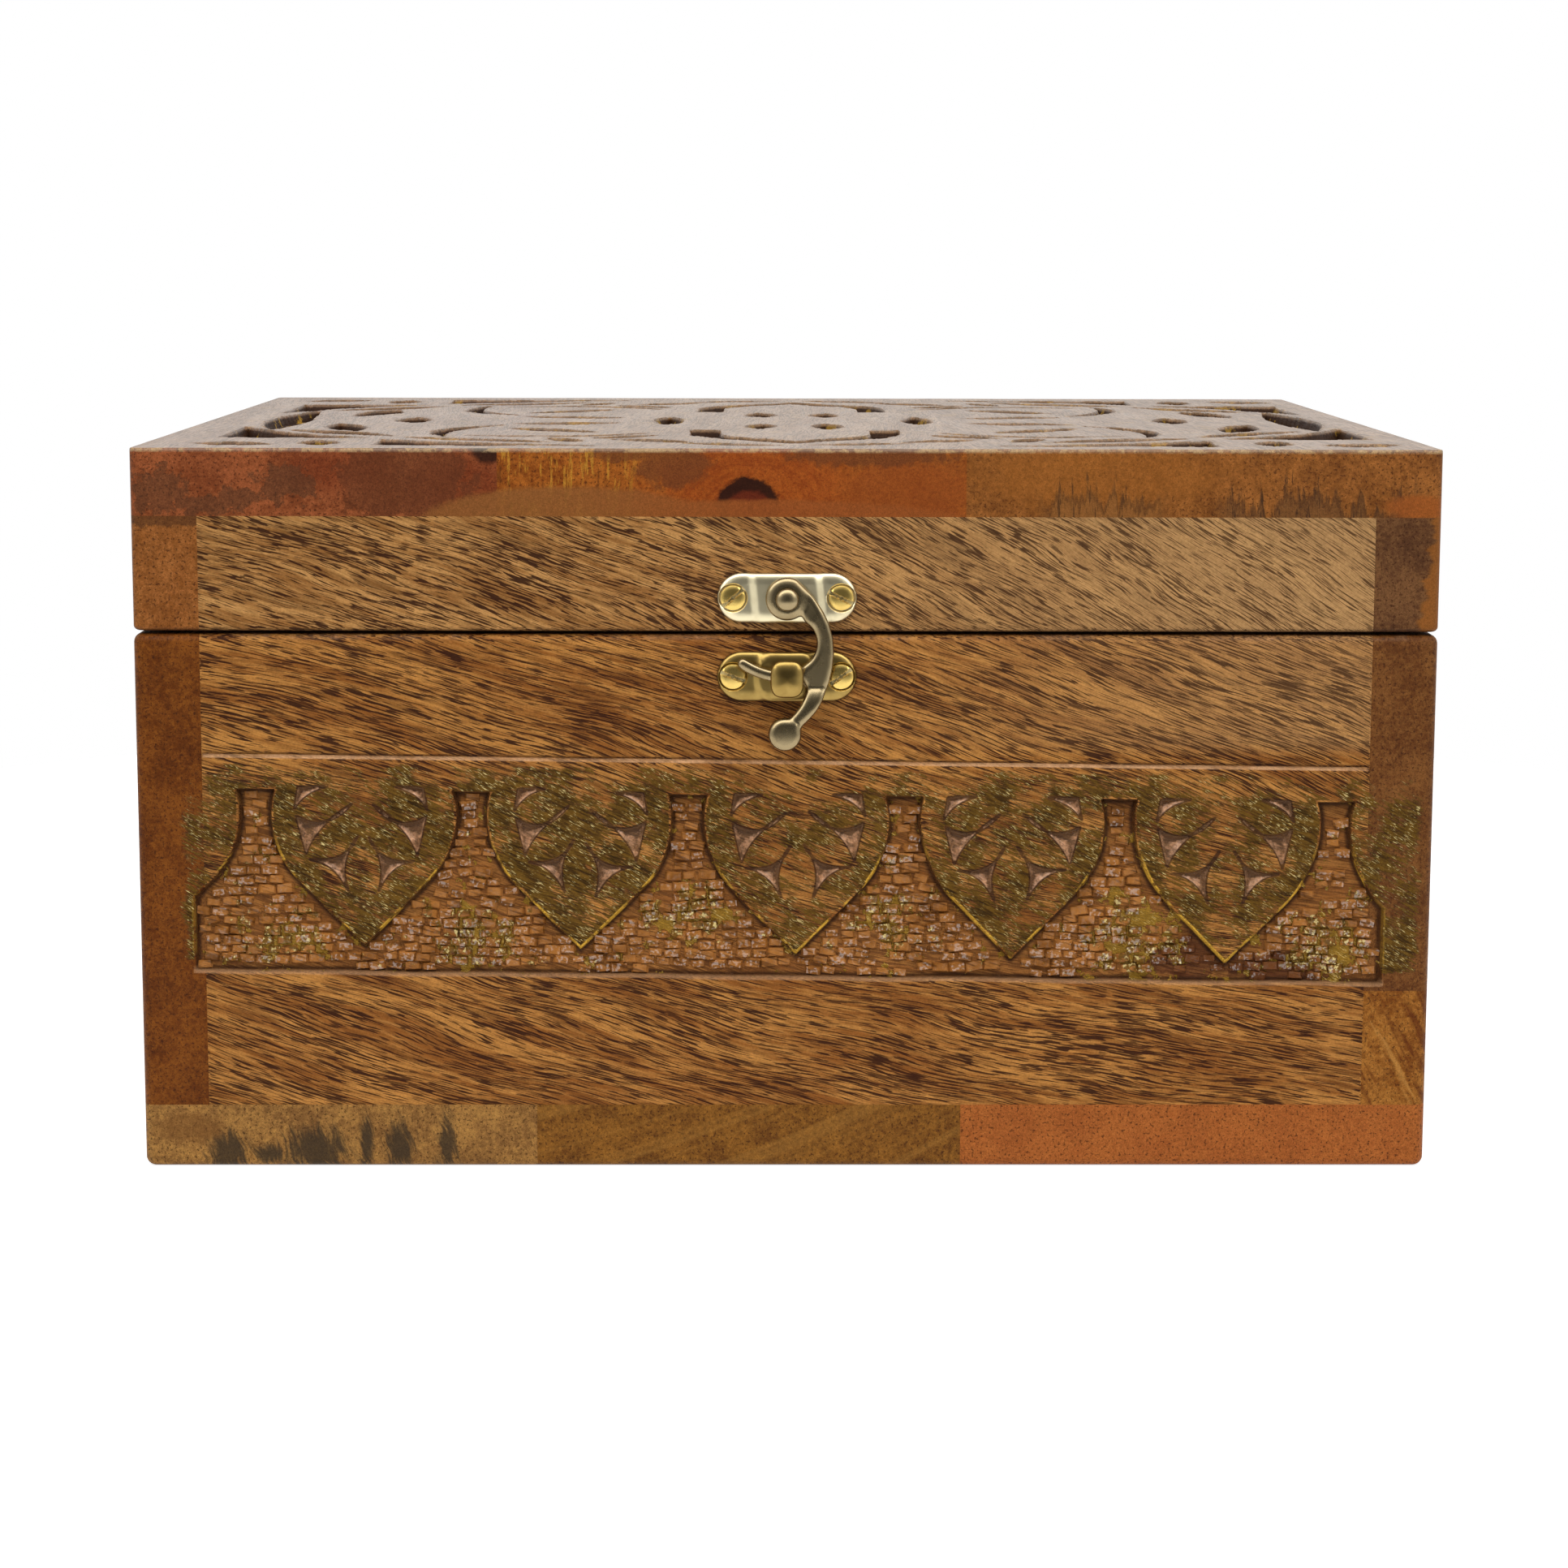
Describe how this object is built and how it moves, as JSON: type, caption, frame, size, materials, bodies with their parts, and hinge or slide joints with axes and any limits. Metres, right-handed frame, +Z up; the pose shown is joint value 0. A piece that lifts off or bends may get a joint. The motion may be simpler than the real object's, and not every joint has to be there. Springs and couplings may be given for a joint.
{
  "type": "jewelry box",
  "caption": "Rectangular hardwood jewelry box with a hinged carved lid, a band of carved shields and a brass swing-hook latch.",
  "frame": {"origin": "middle of the base's underside, on the surface that the box stands on", "axes": "+X to the box's right as seen from the front, +Y to the back, where the hinges are, +Z up; the latch faces -Y"},
  "size_m": [0.254, 0.1837, 0.1428],
  "materials": {
    "base_left_wood": "oiled satin hardwood",
    "base_middle_wood": "oiled satin hardwood",
    "base_right_wood": "oiled satin hardwood",
    "front_wood": "oiled satin hardwood",
    "back_wood": "oiled satin hardwood",
    "left_side_wood": "oiled satin hardwood",
    "right_upper_wood": "oiled satin hardwood",
    "right_lower_wood": "oiled satin hardwood",
    "lid_left_wood": "oiled satin hardwood",
    "lid_middle_wood": "oiled satin hardwood",
    "lid_right_wood": "oiled satin hardwood",
    "lid_front_rail_wood": "oiled satin hardwood",
    "lid_back_rail_wood": "oiled satin hardwood",
    "lid_left_rail_wood": "oiled satin hardwood",
    "lid_right_rail_wood": "oiled satin hardwood",
    "hook_plate_brass": "satin, worn pale",
    "catch_plate_brass": "satin",
    "hook_brass": "satin, antiqued",
    "screw_brass": "bright",
    "hinge_brass": "satin"
  },
  "bodies": {
    "box": {"base_board_left": "base_left_wood", "base_board_middle": "base_middle_wood", "base_board_right": "base_right_wood", "front_board": "front_wood", "back_board": "back_wood", "left_side_board": "left_side_wood", "right_side_upper_board": "right_upper_wood", "right_side_lower_board": "right_lower_wood", "catch_plate": "catch_plate_brass", "catch_post": "catch_plate_brass", "catch_plate_screws": "screw_brass", "left_hinge_box_leaf": "hinge_brass", "left_hinge_pin": "hinge_brass", "left_hinge_box_screws": "hinge_brass", "right_hinge_box_leaf": "hinge_brass", "right_hinge_pin": "hinge_brass", "right_hinge_box_screws": "hinge_brass"},
    "lid": {"lid_board_left": "lid_left_wood", "lid_board_middle": "lid_middle_wood", "lid_board_right": "lid_right_wood", "lid_front_rail": "lid_front_rail_wood", "lid_back_rail": "lid_back_rail_wood", "lid_left_rail": "lid_left_rail_wood", "lid_right_rail": "lid_right_rail_wood", "hook_plate": "hook_plate_brass", "hook_plate_screws": "screw_brass", "hook_rivet": "hook_brass", "left_hinge_lid_leaf": "hinge_brass", "left_hinge_lid_screws": "hinge_brass", "right_hinge_lid_leaf": "hinge_brass", "right_hinge_lid_screws": "hinge_brass"},
    "hook": {"swing_hook": "hook_brass"}
  },
  "joints": [
    {"name": "lid_hinge", "type": "hinge", "parent": "box", "child": "lid", "pos_m": [0, 0.086, 0.1069], "axis": [-1, 0, 0], "range_deg": [0, 100]},
    {"name": "hook_swing", "type": "hinge", "parent": "lid", "child": "hook", "pos_m": [0, -0.0919, 0.1139], "axis": [0, -1, 0], "range_deg": [0, 180]}
  ]
}
